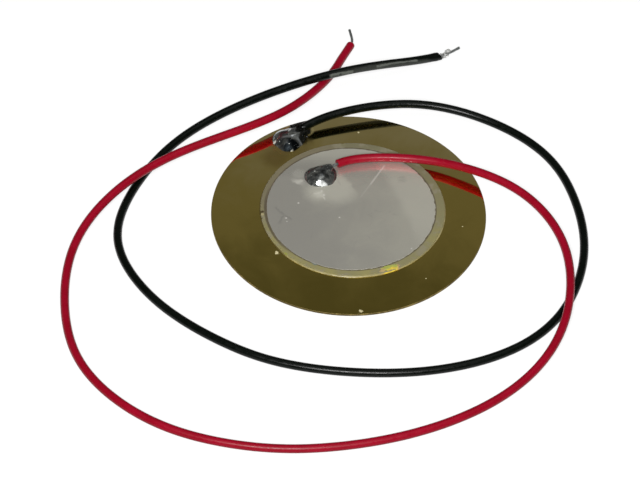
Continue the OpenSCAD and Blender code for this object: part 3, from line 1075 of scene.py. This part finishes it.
def plastic_material(name, main, other, dull):
    """Drawn PVC with fine scuffs, and a painted highlight streak and painted sheen near the black
    lead's far end.
    """
    shade = Shade(name, IOR=1.5, Specular_IOR_Level=0.18)
    broad = shade.noise(0.35, 3, 0.5)
    fine = shade.noise(11, 4, 0.65)
    shade.colour = shade.mix(shade.span(broad, 0.3, 0.7), main, other)
    scuffs = shade.plus(shade.noise(1.6, 4, 0.65), shade.times(fine, 0.3))
    uneven = shade.wavy(1.2, 0.1)
    # A painted highlight streak along the black lead near its far end, and a broad painted sheen
    painted_highlight_streak = shade.strokes([
        ((-2.8, 22.45), (0.3, 23.5), 0.18, 0.7),
        ((3.2, 24.65), (8.6, 27.0), 0.18, 0.7),
    ], uneven)
    painted_highlight_streak = shade.times(shade.span(scuffs, 0.42, 0.62, 0.05, 0.5), painted_highlight_streak)
    painted_sheen = shade.stroke((-2.5, 22.3), (10.4, 27.5), 0.5, 0.7, uneven)
    shade.paint(shade.most(painted_highlight_streak, shade.times(painted_sheen, 0.15)), 128, 132, 126)
    rough = shade.span(scuffs, 0.5, 0.8, dull, dull + 0.16)
    return shade.finish(Roughness=rough, Normal=shade.bump(scuffs, 0.01 * MM, 0.3))


# -------------------- floor and light

FLOOR_REACH = 3.0
FLOOR_DROP = 0.02 * MM
FLOOR_WHITE = 0.33
FLOOR_GLOW = 0.72


def make_floor():
    """A plain pale floor, just under the plate. It is as white as its surroundings to the camera
    and in reflections, and keeps the object's shadow."""
    ends = ((-1, -1), (1, -1), (1, 1), (-1, 1))
    corners = [(x * FLOOR_REACH, y * FLOOR_REACH, -FLOOR_DROP) for x, y in ends]
    floor = mesh_object("floor", corners, [(0, 1, 2, 3)], smooth=False)
    shade = Shade("floor")
    shade.tree.nodes.remove(shade.shader)
    rays = shade.node("LightPath").outputs
    seen = shade.most(*(rays[f"Is {kind} Ray"] for kind in ("Camera", "Glossy", "Transmission")))
    glow = shade.node("Emission", Strength=shade.times(seen, FLOOR_GLOW))
    matt = shade.node("BsdfDiffuse", Color=(FLOOR_WHITE, FLOOR_WHITE, FLOOR_WHITE, 1))
    both = shade.node("AddShader")
    shade.put(both.inputs[0], glow.outputs[0])
    shade.put(both.inputs[1], matt.outputs[0])
    shade.put(shade.tree.nodes["Material Output"].inputs["Surface"], both.outputs[0])
    floor.data.materials.append(shade.material)


ROOM_COLOUR = (1.0, 0.97, 0.9, 1)
ROOM_STRENGTH = 0.14


def softbox(name, place, size, watts):
    """A square lamp that faces the disc."""
    data = bpy.data.lights.new(name, "AREA")
    data.size = size
    data.energy = watts
    lamp = bpy.data.objects.new(name, data)
    place = Vector(place)
    facing = place.to_track_quat("Z", "Y").to_matrix().to_4x4()
    lamp.matrix_world = Matrix.Translation(place) @ facing
    bpy.context.scene.collection.objects.link(lamp)


def make_lights():
    """One soft key beside the camera, a wide one overhead, and a dim room around."""
    softbox("key", (-0.03, -0.45, 0.47), 0.18, 4.6)
    softbox("top", (0.1, 0.0, 0.9), 0.6, 0.8)
    world = bpy.data.worlds.new("room")
    bpy.context.scene.world = world
    world.use_nodes = True
    back = world.node_tree.nodes["Background"]
    back.inputs["Color"].default_value = ROOM_COLOUR
    back.inputs["Strength"].default_value = ROOM_STRENGTH


# -------------------- build

def dress(piece, material, slot, *nodes):
    """A finished piece rides on the body, takes its material and stands for its CAD nodes."""
    if not piece.data.materials:
        piece.data.materials.append(material)
    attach(piece, "root")
    if nodes:
        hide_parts(*nodes)


def make_leads():
    red, black = Lead(RED_ROUTE), Lead(BLACK_ROUTE)
    red_skin, red_path = insulation("red_tube", red, RED_BARE, RED_ENDS, 1.7)
    black_skin, black_path = insulation("black_tube", black, BLACK_BARE, BLACK_ENDS, 6.2)
    red_core = conductor("red_strands", red, 0.1)
    black_core = conductor("black_strands", black, 0.15)
    black_flux = tip_lumps(black, BLACK_BARE)
    red_pvc = plastic_material("red_pvc", tint(138, 2, 27), tint(149, 4, 34), 0.27)
    black_pvc = plastic_material("black_pvc", tint(1, 5, 2), tint(4, 9, 6), 0.21)
    tinned = tinned_material()
    dress(red_skin, red_pvc, "red_pvc", "red_insulation")
    dress(black_skin, black_pvc, "black_pvc", "black_insulation")
    dress(red_core, tinned, "tinned_copper", "red_conductor")
    dress(black_core, tinned, "tinned_copper", "black_conductor")
    dress(black_flux, clear_flux_material(), "epoxy")


def make_disc():
    dress(brass_plate(), brass_material(), "brass", "brass_plate")
    dress(adhesive(), adhesive_material(), "epoxy", "adhesive_layer")
    dress(ceramic_disc(), ceramic_material(), "ceramic", "ceramic_disc")
    dress(electrode(), silver_material(), "silver", "upper_electrode")
    solder = solder_material()
    blob, metal_faces = plate_joint()
    blob.data.materials.append(solder)
    blob.data.materials.append(burnt_flux_material())
    for face in blob.data.polygons[metal_faces:]:
        face.material_index = 1
    dress(blob, solder, "solder", "plate_solder")
    dress(electrode_joint(), solder, "solder", "electrode_solder")
    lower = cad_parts["lower_electrode"]
    lower.data.materials.clear()
    lower.data.materials.append(hidden_silver_material())


def build():
    make_camera()
    bpy.context.scene.view_settings.view_transform = "Standard"
    make_leads()
    make_disc()
    make_floor()
    make_lights()


build()
